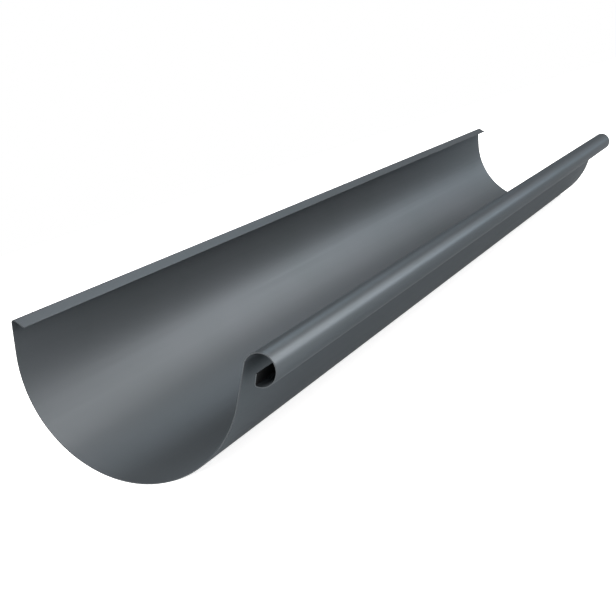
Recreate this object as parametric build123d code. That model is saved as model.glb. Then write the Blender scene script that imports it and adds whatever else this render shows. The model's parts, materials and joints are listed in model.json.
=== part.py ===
"""Half-round eaves gutter, one length of coil-coated steel rolled to shape, with square-cut ends.

The strip is folded inward along its back edge, drops into a half-round channel, rises in a
straight front wall, and rolls outward into a round stiffening bead. Its front edge turns up
inside the bead.

Frame, in millimetres: the length lies along Y, the bead is on the +X side, and +Z is up. The
gutter lies on the floor as it comes to rest by itself, on its round underside.
"""

import math
import os

from build123d import *

# Strip and length
LENGTH = 1000.0
SHEET = 0.6

# Channel, measured on the face that the water touches
INSIDE_D = 153.0

# Back wall and the fold along its top edge
BACK_LEAN = 5.2
BACK_STRAIGHT = 19.5
FOLD_R = 1.4
FOLD_TURN = 123.0
LIP = 7.6

# Front wall, and the bead that it rolls outward into
FRONT_LEAN = 10.1
FRONT_STRAIGHT = 22.9
BEAD_D = 20.7
BEAD_TURN = 270.0

# Strip edge turned up inside the bead
HEM_R = 1.2
HEM_TURN = 88.0
HEM = 6.0


def face_line(depth):
    """Return one face of the bent strip: the inside at depth 0, the outside at depth SHEET."""
    with BuildLine() as line:
        channel = CenterArc(
            (0, 0), INSIDE_D / 2 + depth, 180 + BACK_LEAN, 180 - BACK_LEAN - FRONT_LEAN
        )
        back = PolarLine(channel @ 0, BACK_STRAIGHT, direction=-(channel % 0))
        fold = JernArc(back @ 1, back % 1, FOLD_R + depth, -FOLD_TURN)
        PolarLine(fold @ 1, LIP, direction=fold % 1)
        front = PolarLine(channel @ 1, FRONT_STRAIGHT, direction=channel % 1)
        bead = JernArc(front @ 1, front % 1, BEAD_D / 2 - depth, -BEAD_TURN)
        hem = JernArc(bead @ 1, bead % 1, HEM_R + SHEET - depth, -HEM_TURN)
        PolarLine(hem @ 1, HEM, direction=hem % 1)
    return line.wire()


def section():
    """Return the strip's section, with the channel's axis at the origin and the bead on +X."""
    inside = face_line(0)
    outside = face_line(SHEET)
    lip_edge = Line(inside @ 0, outside @ 0)
    hem_edge = Line(inside @ 1, outside @ 1)
    return make_face(inside.edges() + outside.edges() + [lip_edge, hem_edge])


def roll_to_rest(face):
    """Return the turn that brings the section's centroid straight below the channel's axis."""
    centroid = face.center(CenterOf.MASS)
    return -90 - math.degrees(math.atan2(centroid.Y, centroid.X))


def gutter_section():
    """Return the gutter, at rest on its round underside and centred on its length."""
    face = section()
    rolled = Rot(0, 0, roll_to_rest(face)) * face
    body = Plane.XZ.offset(-LENGTH / 2) * extrude(rolled, LENGTH)
    box = body.bounding_box()
    return Pos(-(box.min.X + box.max.X) / 2, 0, -box.min.Z) * body


os.makedirs("parts", exist_ok=True)
gutter = gutter_section()
export_step(gutter, "parts/gutter_section.step")
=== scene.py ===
"""Half-round eaves gutter, one metre of coil-coated steel strip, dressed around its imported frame.

Everything is in metres in the frame's own axes: +Y along the gutter, +X towards the front bead,
+Z up as the gutter lies unheld on the floor.
"""

from __future__ import annotations

import json
import logging
import math
from dataclasses import dataclass, field
from enum import Enum
from typing import Any

import bmesh
import bpy
from mathutils import Matrix, Vector

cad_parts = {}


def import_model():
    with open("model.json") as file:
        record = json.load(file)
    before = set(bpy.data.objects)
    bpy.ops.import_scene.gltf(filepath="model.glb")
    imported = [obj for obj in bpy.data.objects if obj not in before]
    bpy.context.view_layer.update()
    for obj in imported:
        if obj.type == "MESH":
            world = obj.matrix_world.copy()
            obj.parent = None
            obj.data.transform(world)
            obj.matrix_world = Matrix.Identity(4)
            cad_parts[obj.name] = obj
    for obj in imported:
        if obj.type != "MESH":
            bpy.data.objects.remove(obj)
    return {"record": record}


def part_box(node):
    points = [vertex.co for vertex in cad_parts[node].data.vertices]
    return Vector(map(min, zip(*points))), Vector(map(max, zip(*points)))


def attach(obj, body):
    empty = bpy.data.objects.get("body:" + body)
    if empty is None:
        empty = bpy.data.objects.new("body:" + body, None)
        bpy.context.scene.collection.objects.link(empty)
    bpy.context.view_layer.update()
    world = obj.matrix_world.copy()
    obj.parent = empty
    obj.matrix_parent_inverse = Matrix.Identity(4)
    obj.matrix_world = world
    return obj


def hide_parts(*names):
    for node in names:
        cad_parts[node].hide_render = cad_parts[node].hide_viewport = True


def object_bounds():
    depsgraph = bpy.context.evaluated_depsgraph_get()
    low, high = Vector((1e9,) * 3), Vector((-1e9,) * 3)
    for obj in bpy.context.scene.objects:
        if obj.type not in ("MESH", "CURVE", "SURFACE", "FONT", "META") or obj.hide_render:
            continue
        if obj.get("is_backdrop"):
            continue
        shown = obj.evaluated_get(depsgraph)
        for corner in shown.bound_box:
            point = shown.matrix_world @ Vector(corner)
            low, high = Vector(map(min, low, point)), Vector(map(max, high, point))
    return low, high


LOG = logging.getLogger("gutter")
MM = 0.001
NODE = "gutter_section"
WHITE = "#ffffff"
WARM_WHITE = "#fff8f4"
ALONG = Vector((0, 1, 0))

# Sockets of a Mix node for colours, by number, because each data type uses the same names.
MIX_A, MIX_B, MIX_RESULT = 6, 7, 2


def srgb(hex_colour: str) -> tuple[float, float, float, float]:
    """Turn an sRGB hex colour into Blender's linear colour.

    Args:
        hex_colour: Six hex digits, with or without a leading hash.

    Returns:
        Linear red, green, blue and an alpha of 1.
    """
    digits = hex_colour.lstrip("#")
    channels = [int(digits[i : i + 2], 16) / 255 for i in (0, 2, 4)]
    linear = [c / 12.92 if c <= 0.04045 else ((c + 0.055) / 1.055) ** 2.4 for c in channels]
    return (*linear, 1.0)


def add_node(
    tree: bpy.types.NodeTree,
    kind: str,
    settings: dict[str, Any] | None = None,
    inputs: dict[str | int, Any] | None = None,
) -> bpy.types.Node:
    """Add one node, set it up and link it.

    Args:
        tree: Node tree that takes the node.
        kind: Blender's type name of the node.
        settings: Properties of the node by name.
        inputs: Values of input sockets by name or number. An output socket is linked instead.

    Returns:
        The new node.
    """
    node = tree.nodes.new(kind)
    for name, value in (settings or {}).items():
        setattr(node, name, value)
    for name, value in (inputs or {}).items():
        if isinstance(value, bpy.types.NodeSocket):
            tree.links.new(value, node.inputs[name])
        else:
            node.inputs[name].default_value = value
    return node


def per_metre(pattern_mm: float) -> float:
    """Return the noise scale that gives a pattern of that size on coordinates in metres."""
    return 1 / (pattern_mm * MM)


def start_material(name: str) -> bpy.types.Material:
    """Start a material.

    Args:
        name: Name of the material.

    Returns:
        The material, with an empty node tree.
    """
    material = bpy.data.materials.new(name)
    material.use_nodes = True
    material.node_tree.nodes.clear()
    return material


@dataclass(frozen=True)
class CoilCoating:
    """Polyester coil coating with fine aluminium flakes, roller-applied to the flat strip.

    The flakes give the anthracite an even satin sheen, broad and soft, that grows only a little
    towards a grazing view, which is what the edge tint holds back. The rollers leave a faint
    orange peel, and the forming leaves faint draw lines along the strip. The tight roll of the
    bead smooths the coating, so its highlight is narrower than the channel's. The hem inside
    the bead is painted dark, as painted shade of the bead's hollow.
    """

    name: str = "flaked_polyester_coil_coating"
    paint: str = "#4b4f53"
    paint_shade: str = "#474c4f"
    # Dark colour painted on the hem inside the bead's hollow, as painted shade.
    hollow_shade: str = "#313233"
    metallic: float = 0.48
    edge_tint: str = "#959595"
    # The clear binder's own gloss is left out, because the flakes give the whole sheen.
    gloss_level: float = 0.0
    roughness: float = 0.44
    roughness_spread: float = 0.03
    bead_roughness: float = 0.39
    bead_fade_mm: float = 3.0
    # The real grain is about 0.3 mm, too fine to show, so it is drawn at three times that.
    grain_mm: float = 0.9
    grain_depth_mm: float = 0.006
    peel_mm: float = 6.0
    peel_depth_mm: float = 0.008
    draw_line_mm: float = 2.5
    # A draw line's width as a share of its length.
    draw_line_slimness: float = 0.004
    draw_line_depth_mm: float = 0.003
    tone_mm: float = 70.0
    # Depth over which the hollow's painted shade fades in from the hollow's wall.
    hollow_shade_fade_mm: float = 0.6

    def material(
        self, bead_axis: Vector, bead_radius: float, hollow_radius: float
    ) -> bpy.types.Material:
        """Build the coating's node tree.

        Args:
            bead_axis: A point on the bead's axis, which runs along Y.
            bead_radius: Radius of the bead's outside.
            hollow_radius: Radius of the bead's hollow.

        Returns:
            The finished material.
        """
        material = start_material(self.name)
        tree = material.node_tree
        place = add_node(tree, "ShaderNodeTexCoord").outputs["Object"]
        along = add_node(
            tree,
            "ShaderNodeMapping",
            inputs={"Vector": place, "Scale": (1.0, self.draw_line_slimness, 1.0)},
        ).outputs["Vector"]
        from_bead = self._distance(tree, place, bead_axis)
        tone = self._noise(tree, place, self.tone_mm, detail=2.0)
        lines = self._noise(tree, along, self.draw_line_mm, detail=1.0)
        paint = add_node(
            tree,
            "ShaderNodeMix",
            {"data_type": "RGBA"},
            {"Factor": tone, MIX_A: srgb(self.paint), MIX_B: srgb(self.paint_shade)},
        ).outputs[MIX_RESULT]
        # Painted shade: the hem deep in the bead's hollow is darkened, standing in for the hollow's
        # shade.
        paint = add_node(
            tree,
            "ShaderNodeMix",
            {"data_type": "RGBA"},
            {
                "Factor": self._fade(
                    tree, from_bead, hollow_radius - self.hollow_shade_fade_mm * MM, hollow_radius
                ),
                MIX_A: srgb(self.hollow_shade),
                MIX_B: paint,
            },
        ).outputs[MIX_RESULT]
        smoothness = add_node(
            tree,
            "ShaderNodeMapRange",
            inputs={
                "Value": self._fade(
                    tree, from_bead, bead_radius, bead_radius + self.bead_fade_mm * MM
                ),
                "To Min": self.bead_roughness,
                "To Max": self.roughness,
            },
        ).outputs["Result"]
        streaks = add_node(
            tree,
            "ShaderNodeMapRange",
            inputs={
                "Value": lines,
                "To Min": -self.roughness_spread,
                "To Max": self.roughness_spread,
            },
        ).outputs["Result"]
        roughness = add_node(
            tree, "ShaderNodeMath", {"operation": "ADD"}, {0: smoothness, 1: streaks}
        ).outputs["Value"]
        relief = None
        for height, depth_mm in (
            (self._noise(tree, place, self.peel_mm, detail=1.0), self.peel_depth_mm),
            (lines, self.draw_line_depth_mm),
            (self._noise(tree, place, self.grain_mm, detail=2.0), self.grain_depth_mm),
        ):
            inputs = {"Height": height, "Distance": depth_mm * MM}
            if relief is not None:
                inputs["Normal"] = relief
            relief = add_node(tree, "ShaderNodeBump", inputs=inputs).outputs["Normal"]
        shader = add_node(
            tree,
            "ShaderNodeBsdfPrincipled",
            inputs={
                "Base Color": paint,
                "Metallic": self.metallic,
                "Specular Tint": srgb(self.edge_tint),
                "Specular IOR Level": self.gloss_level,
                "Roughness": roughness,
                "Normal": relief,
            },
        )
        add_node(tree, "ShaderNodeOutputMaterial", inputs={"Surface": shader.outputs["BSDF"]})
        return material

    @staticmethod
    def _distance(
        tree: bpy.types.NodeTree, place: bpy.types.NodeSocket, axis: Vector
    ) -> bpy.types.NodeSocket:
        """Measure how far a place is from an axis that runs along Y.

        Args:
            tree: Node tree that takes the nodes.
            place: Socket of the place.
            axis: A point on the axis.

        Returns:
            The socket of the distance.
        """
        only_across = (1.0, 0.0, 1.0)
        across = add_node(
            tree,
            "ShaderNodeVectorMath",
            {"operation": "MULTIPLY"},
            {0: place, 1: only_across},
        ).outputs["Vector"]
        return add_node(
            tree,
            "ShaderNodeVectorMath",
            {"operation": "DISTANCE"},
            {0: across, 1: (axis.x, 0.0, axis.z)},
        ).outputs["Value"]

    @staticmethod
    def _fade(
        tree: bpy.types.NodeTree, distance: bpy.types.NodeSocket, near: float, far: float
    ) -> bpy.types.NodeSocket:
        """Turn a distance into a factor.

        Args:
            tree: Node tree that takes the node.
            distance: Socket of the distance.
            near: Distance up to which the factor is 0.
            far: Distance from which on the factor is 1.

        Returns:
            The socket of the factor.
        """
        return add_node(
            tree,
            "ShaderNodeMapRange",
            inputs={"Value": distance, "From Min": near, "From Max": far},
        ).outputs["Result"]

    @staticmethod
    def _noise(
        tree: bpy.types.NodeTree, place: bpy.types.NodeSocket, size_mm: float, detail: float
    ) -> bpy.types.NodeSocket:
        """Lay a noise over the surface.

        Args:
            tree: Node tree that takes the node.
            place: Socket of the place.
            size_mm: Width of the noise's patches.
            detail: How many finer layers the noise has.

        Returns:
            The socket of the noise's height.
        """
        return add_node(
            tree,
            "ShaderNodeTexNoise",
            inputs={"Vector": place, "Scale": per_metre(size_mm), "Detail": detail},
        ).outputs["Fac"]


@dataclass(frozen=True)
class TouchUpLacquer:
    """Matt grey touch-up lacquer, brushed on the sheared ends to seal their bare steel.

    It has no flakes and hardly any gloss, so the cut shows as a thin line of about the sheet's
    own tone, a little uneven from the brush.
    """

    name: str = "brushed_matt_lacquer"
    lacquer: str = "#2e3133"
    lacquer_shade: str = "#25282a"
    roughness: float = 0.8
    gloss_level: float = 0.15
    mark_mm: float = 0.8

    def material(self) -> bpy.types.Material:
        """Build the lacquer's node tree.

        Returns:
            The finished material.
        """
        material = start_material(self.name)
        tree = material.node_tree
        place = add_node(tree, "ShaderNodeTexCoord").outputs["Object"]
        marks = add_node(
            tree,
            "ShaderNodeTexNoise",
            inputs={"Vector": place, "Scale": per_metre(self.mark_mm), "Detail": 2.0},
        ).outputs["Fac"]
        lacquer = add_node(
            tree,
            "ShaderNodeMix",
            {"data_type": "RGBA"},
            {"Factor": marks, MIX_A: srgb(self.lacquer), MIX_B: srgb(self.lacquer_shade)},
        ).outputs[MIX_RESULT]
        shader = add_node(
            tree,
            "ShaderNodeBsdfPrincipled",
            inputs={
                "Base Color": lacquer,
                "Roughness": self.roughness,
                "Specular IOR Level": self.gloss_level,
            },
        )
        add_node(tree, "ShaderNodeOutputMaterial", inputs={"Surface": shader.outputs["BSDF"]})
        return material


class Turn(Enum):
    """Which way the strip turns, followed from its back edge to its front edge.

    The strip is seen from the near end, and the value is the sign of a turn about +Y.
    """

    LEFT = -1
    RIGHT = 1


class StripLine:
    """One face of the strip in section, drawn as a chain of straights and tangent bends."""

    def __init__(self, mesh: bmesh.types.BMesh, heading: Vector) -> None:
        """Start the chain at the strip's back edge.

        Args:
            mesh: Mesh that takes the chain.
            heading: Direction of the first straight, in the section's plane.
        """
        self.mesh = mesh
        self.heading = heading.normalized()
        self.head = bmesh.ops.create_vert(mesh, co=(0, 0, 0))["vert"][0]

    def straight(self, length: float) -> None:
        """Carry the chain straight on.

        Args:
            length: Length of the straight.
        """
        made = bmesh.ops.extrude_vert_indiv(self.mesh, verts=[self.head])
        self.head = made["verts"][0]
        bmesh.ops.translate(self.mesh, vec=self.heading * length, verts=[self.head])

    def bend(self, radius: float, degrees: float, turn: Turn, facet_deg: float) -> Vector:
        """Carry the chain round a tangent bend.

        Args:
            radius: Radius of this face of the strip.
            degrees: How far the strip turns.
            turn: Which way it turns.
            facet_deg: Most that one facet may turn.

        Returns:
            The centre of the bend.
        """
        angle = math.radians(degrees) * turn.value
        across = ALONG.cross(self.heading) * turn.value
        centre = self.head.co + across * radius
        made = bmesh.ops.spin(
            self.mesh,
            geom=[self.head],
            cent=centre,
            axis=ALONG,
            dvec=(0, 0, 0),
            angle=angle,
            steps=math.ceil(degrees / facet_deg),
            use_duplicate=False,
        )
        self.head = next(g for g in made["geom_last"] if isinstance(g, bmesh.types.BMVert))
        self.heading = Matrix.Rotation(angle, 3, "Y") @ self.heading
        return centre


@dataclass
class GutterSection:
    """The whole gutter: one strip with a folded back edge, a channel, a bead and a hem.

    The sizes are those of the strip's water side, in metres and degrees, apart from the hem's
    radius, which is the inside of its bend. The length, and the channel's and the bead's radius
    and place, come from the frame.
    """

    length: float
    channel_axis: Vector
    channel_outer_radius: float
    bead_axis: Vector
    bead_radius: float
    sheet: float = 0.6 * MM
    back_lean: float = 5.2
    back_straight: float = 19.5 * MM
    fold_radius: float = 1.4 * MM
    fold_turn: float = 123.0
    lip: float = 7.6 * MM
    front_lean: float = 10.1
    front_straight: float = 22.9 * MM
    bead_turn: float = 270.0
    hem_radius: float = 1.2 * MM
    hem_turn: float = 88.0
    hem: float = 6.0 * MM
    cut_bevel: float = 0.07 * MM
    # Edges that turn past the cut's angle are broken. Those past the crease's are shaded sharp.
    cut_angle: float = 60.0
    crease_angle: float = 15.0
    # A face is part of a cut when its normal points at least this far along the gutter.
    cut_facing: float = 0.3
    # Most that one facet of each bend turns.
    fold_facet: float = 10.0
    channel_facet: float = 2.0
    bead_facet: float = 5.0
    hem_facet: float = 11.0
    lengthwise_parts: int = 40
    coating: CoilCoating = field(default_factory=CoilCoating)
    cut_finish: TouchUpLacquer = field(default_factory=TouchUpLacquer)

    @classmethod
    def from_frame(cls, record: dict[str, Any]) -> GutterSection:
        """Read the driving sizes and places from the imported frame.

        Args:
            record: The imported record.

        Returns:
            The gutter, ready to be built.
        """
        low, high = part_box(NODE)
        mounts = {mount["name"]: mount for mount in record["mounts"]}
        seat, bead = mounts["bracket_seat"], mounts["bead"]
        return cls(
            length=high.y - low.y,
            channel_axis=Vector(seat["pos_m"]),
            channel_outer_radius=seat["dims"]["r_mm"] * MM,
            bead_axis=Vector(bead["pos_m"]),
            bead_radius=bead["dims"]["r_mm"] * MM,
        )

    def build(self) -> bpy.types.Object:
        """Form, place and dress the gutter.

        Returns:
            The finished piece, which replaces the frame's own node.
        """
        mesh = bmesh.new()
        channel, bead = self._roll_form(mesh)
        self._draw_out(mesh)
        self._thicken(mesh)
        self._lay_down(mesh, channel, bead)
        self._break_cut_edges(mesh)
        self._mark_faces(mesh)
        data = bpy.data.meshes.new("gutter")
        mesh.to_mesh(data)
        mesh.free()
        piece = bpy.data.objects.new("gutter", data)
        bpy.context.scene.collection.objects.link(piece)
        self._dress(data)
        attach(piece, "root")
        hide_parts(NODE)
        return piece

    def _roll_form(self, mesh: bmesh.types.BMesh) -> tuple[Vector, Vector]:
        """Draw the water side of the section from the back edge to the front edge.

        Args:
            mesh: Mesh that takes the line.

        Returns:
            The centres of the channel and of the bead.
        """
        lip_slope = math.radians(90 - self.back_lean - self.fold_turn)
        heading = Vector((-math.cos(lip_slope), 0, -math.sin(lip_slope)))
        line = StripLine(mesh, heading)
        line.straight(self.lip)
        line.bend(self.fold_radius, self.fold_turn, Turn.LEFT, self.fold_facet)
        line.straight(self.back_straight)
        round_part = 180 - self.back_lean - self.front_lean
        inside_radius = self.channel_outer_radius - self.sheet
        channel = line.bend(inside_radius, round_part, Turn.LEFT, self.channel_facet)
        line.straight(self.front_straight)
        bead = line.bend(self.bead_radius, self.bead_turn, Turn.RIGHT, self.bead_facet)
        line.bend(self.hem_radius + self.sheet, self.hem_turn, Turn.RIGHT, self.hem_facet)
        line.straight(self.hem)
        return channel, bead

    def _draw_out(self, mesh: bmesh.types.BMesh) -> None:
        """Draw the line out along +Y into a skin as long as the gutter, in even parts.

        Args:
            mesh: The section's line, which becomes the skin.
        """
        part = ALONG * (self.length / self.lengthwise_parts)
        edges = mesh.edges[:]
        for _ in range(self.lengthwise_parts):
            made = bmesh.ops.extrude_edge_only(mesh, edges=edges)["geom"]
            verts = [g for g in made if isinstance(g, bmesh.types.BMVert)]
            bmesh.ops.translate(mesh, vec=part, verts=verts)
            edges = [
                g
                for g in made
                if isinstance(g, bmesh.types.BMEdge) and all(v in verts for v in g.verts)
            ]

    def _thicken(self, mesh: bmesh.types.BMesh) -> None:
        """Give the skin the sheet's thickness, away from the water side.

        Args:
            mesh: The skin, which becomes the formed gutter.
        """
        bmesh.ops.recalc_face_normals(mesh, faces=mesh.faces)
        bmesh.ops.solidify(mesh, geom=mesh.faces[:], thickness=self.sheet)
        bmesh.ops.recalc_face_normals(mesh, faces=mesh.faces)

    def _lay_down(self, mesh: bmesh.types.BMesh, channel: Vector, bead: Vector) -> None:
        """Turn and move the gutter so that its channel and bead are where the frame has them.

        Args:
            mesh: The formed gutter.
            channel: Centre of the channel as formed.
            bead: Centre of the bead as formed.
        """
        formed = bead - channel
        laid = self.bead_axis - self.channel_axis
        roll = math.atan2(formed.z, formed.x) - math.atan2(laid.z, laid.x)
        place = (
            Matrix.Translation(self.channel_axis)
            @ Matrix.Rotation(roll, 4, "Y")
            @ Matrix.Translation(Vector((0, -self.length / 2, 0)) - channel)
        )
        bmesh.ops.transform(mesh, matrix=place, verts=mesh.verts)

    def _break_cut_edges(self, mesh: bmesh.types.BMesh) -> None:
        """Break the sharp edges of the cuts.

        Args:
            mesh: The gutter, laid down.
        """
        sharp = math.radians(self.cut_angle)
        edges = [edge for edge in mesh.edges if edge.calc_face_angle(0) > sharp]
        bmesh.ops.bevel(
            mesh,
            geom=edges,
            offset=self.cut_bevel,
            offset_type="OFFSET",
            segments=2,
            profile=0.5,
            affect="EDGES",
            clamp_overlap=True,
            material=-1,
        )

    def _mark_faces(self, mesh: bmesh.types.BMesh) -> None:
        """Shade the bends smooth, and mark the cut faces as touched up.

        Args:
            mesh: The gutter, with its cut edges broken.
        """
        crease = math.radians(self.crease_angle)
        for face in mesh.faces:
            face.smooth = True
            on_end = abs(face.normal.y) > self.cut_facing
            face.material_index = 1 if on_end else 0
        for edge in mesh.edges:
            edge.smooth = edge.calc_face_angle(0) < crease

    def _dress(self, data: bpy.types.Mesh) -> None:
        """Coat the strip, and touch up its cuts.

        Args:
            data: The finished mesh, whose cut faces take the second material.
        """
        hollow_radius = self.bead_radius - self.sheet
        coating = self.coating.material(self.bead_axis, self.bead_radius, hollow_radius)
        data.materials.append(coating)
        data.materials.append(self.cut_finish.material())


@dataclass(frozen=True)
class SoftBox:
    """A rectangular soft light that faces the gutter from far off.

    Its place and its size are angles in degrees, as seen from the gutter. Its power is in watts
    and its distance in metres.
    """

    name: str
    azimuth: float
    elevation: float
    wide: float
    high: float
    power: float
    distance: float = 7.0
    colour: str = WHITE

    def build(self, aim: Vector) -> bpy.types.Object:
        """Hang the light.

        Args:
            aim: Point that the light faces.

        Returns:
            The light, which lights the scene but isn't seen itself.
        """
        data = bpy.data.lights.new(self.name, "AREA")
        data.shape = "RECTANGLE"
        data.size = self._across(self.wide)
        data.size_y = self._across(self.high)
        data.energy = self.power
        data.color = srgb(self.colour)[:3]
        lamp = bpy.data.objects.new(self.name, data)
        bpy.context.scene.collection.objects.link(lamp)
        back = direction(self.azimuth, self.elevation)
        lamp.location = aim + back * self.distance
        lamp.rotation_mode = "QUATERNION"
        lamp.rotation_quaternion = back.to_track_quat("Z", "Y")
        lamp.visible_camera = False
        return lamp

    def _across(self, degrees: float) -> float:
        """Return the length that fills an angle at the light's distance."""
        return 2 * self.distance * math.tan(math.radians(degrees / 2))


def direction(azimuth: float, elevation: float) -> Vector:
    """Return the direction from the gutter to a point seen at these angles.

    Args:
        azimuth: Degrees round +Z. At 0 the point is on the -Y side, and at 90 on the +X side.
        elevation: Degrees above the floor.

    Returns:
        A unit vector.
    """
    round_z, up = math.radians(azimuth), math.radians(elevation)
    level = math.cos(up)
    return Vector((math.sin(round_z) * level, -math.cos(round_z) * level, math.sin(up)))


@dataclass(frozen=True)
class PhotoCamera:
    """The camera of the photograph, fitted to the gutter's outline.

    Its angles are in degrees, its distance and aim in metres, its lens and sensor in
    millimetres.
    """

    azimuth: float = 28.061
    elevation: float = 7.448
    roll: float = -17.893
    distance: float = 1.0959
    aim_from_centre: tuple[float, float, float] = (-0.11312, -0.06815, -0.04181)
    lens: float = 66.641
    sensor: float = 36.0

    def build(self, centre: Vector) -> bpy.types.Object:
        """Set the camera up.

        Args:
            centre: Middle of the gutter's box.

        Returns:
            The scene's camera.
        """
        data = bpy.data.cameras.new("photo_camera")
        data.lens = self.lens
        data.sensor_width = self.sensor
        camera = bpy.data.objects.new("photo_camera", data)
        bpy.context.scene.collection.objects.link(camera)
        back = direction(self.azimuth, self.elevation)
        level = back.to_track_quat("Z", "Y")
        rolled = Matrix.Rotation(math.radians(self.roll), 4, back) @ level.to_matrix().to_4x4()
        camera.matrix_world = (
            Matrix.Translation(centre + Vector(self.aim_from_centre) + back * self.distance)
            @ rolled
        )
        bpy.context.scene.camera = camera
        return camera


@dataclass(frozen=True)
class BackdropPaper:
    """Matt backdrop paper, lit from below as well, as on a light table.

    It has hardly any gloss, so the floor is one even pale tone from every side, and its glow
    fills the gutter's shadow.
    """

    name: str = "matt_backdrop_paper"
    paper: str = "#d8d8d7"
    light: str = WHITE
    glow: float = 0.8
    roughness: float = 0.9
    gloss_level: float = 0.1

    def material(self) -> bpy.types.Material:
        """Build the paper's node tree.

        Returns:
            The finished material.
        """
        material = start_material(self.name)
        tree = material.node_tree
        shader = add_node(
            tree,
            "ShaderNodeBsdfPrincipled",
            inputs={
                "Base Color": srgb(self.paper),
                "Roughness": self.roughness,
                "Specular IOR Level": self.gloss_level,
                "Emission Color": srgb(self.light),
                "Emission Strength": self.glow,
            },
        )
        add_node(tree, "ShaderNodeOutputMaterial", inputs={"Surface": shader.outputs["BSDF"]})
        return material


@dataclass
class Studio:
    """A plain pale floor under an even white sky, with soft boxes far off.

    The floor is lit from below too, as a light table is, so the gutter's shadow hardly shows on
    it and the underside gets light. The boxes stand far off, so that their light doesn't fall
    off along the gutter. The sky lights the gutter but isn't mirrored in its sheen, which
    leaves that to the boxes.
    """

    floor_radius: float = 30.0
    floor_sides: int = 96
    floor_finish: BackdropPaper = field(default_factory=BackdropPaper)
    sky_colour: str = WHITE
    sky_strength: float = 1.0
    # Each box's name, azimuth, elevation, width, height and power.
    boxes: tuple[SoftBox, ...] = (
        SoftBox("front_box", 330.0, 13.0, 40.0, 26.0, 1460.0),
        SoftBox("back_low_box", 152.0, 5.0, 16.0, 8.0, 276.0, colour=WARM_WHITE),
        SoftBox("back_middle_box", 150.0, 18.0, 14.0, 12.0, 206.0, colour=WARM_WHITE),
        SoftBox("back_right_box", 135.0, 36.0, 20.0, 16.0, 242.0, colour=WARM_WHITE),
        SoftBox("back_high_box", 180.0, 36.0, 20.0, 16.0, 196.0),
    )
    camera: PhotoCamera = field(default_factory=PhotoCamera)

    def build(self, centre: Vector) -> None:
        """Set up the floor, the sky, the lights and the camera.

        Args:
            centre: Middle of the gutter's box.
        """
        self._floor()
        self._sky()
        for box in self.boxes:
            box.build(centre)
            LOG.info("light %s", box.name)
        self.camera.build(centre)
        bpy.context.scene.view_settings.view_transform = "Standard"

    def _floor(self) -> None:
        """Lay the floor at the height that the gutter lies on."""
        mesh = bmesh.new()
        bmesh.ops.create_circle(
            mesh, cap_ends=True, segments=self.floor_sides, radius=self.floor_radius
        )
        data = bpy.data.meshes.new("floor")
        mesh.to_mesh(data)
        mesh.free()
        floor = bpy.data.objects.new("floor", data)
        bpy.context.scene.collection.objects.link(floor)
        data.materials.append(self.floor_finish.material())
        floor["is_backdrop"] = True

    def _sky(self) -> None:
        """Give the world an even pale light."""
        world = bpy.data.worlds.new("studio")
        world.use_nodes = True
        background = world.node_tree.nodes["Background"]
        background.inputs["Color"].default_value = srgb(self.sky_colour)
        background.inputs["Strength"].default_value = self.sky_strength
        world.cycles_visibility.glossy = False
        bpy.context.scene.world = world


def main() -> None:
    """Build the gutter and its studio around the frame."""
    logging.basicConfig(level=logging.INFO, format="%(name)s: %(message)s")
    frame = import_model()
    cad_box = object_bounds()
    centre = (cad_box[0] + cad_box[1]) / 2
    piece = GutterSection.from_frame(frame["record"]).build()
    LOG.info("piece %s, %d faces", piece.name, len(piece.data.polygons))
    Studio().build(centre)


if __name__ == "__main__":
    main()
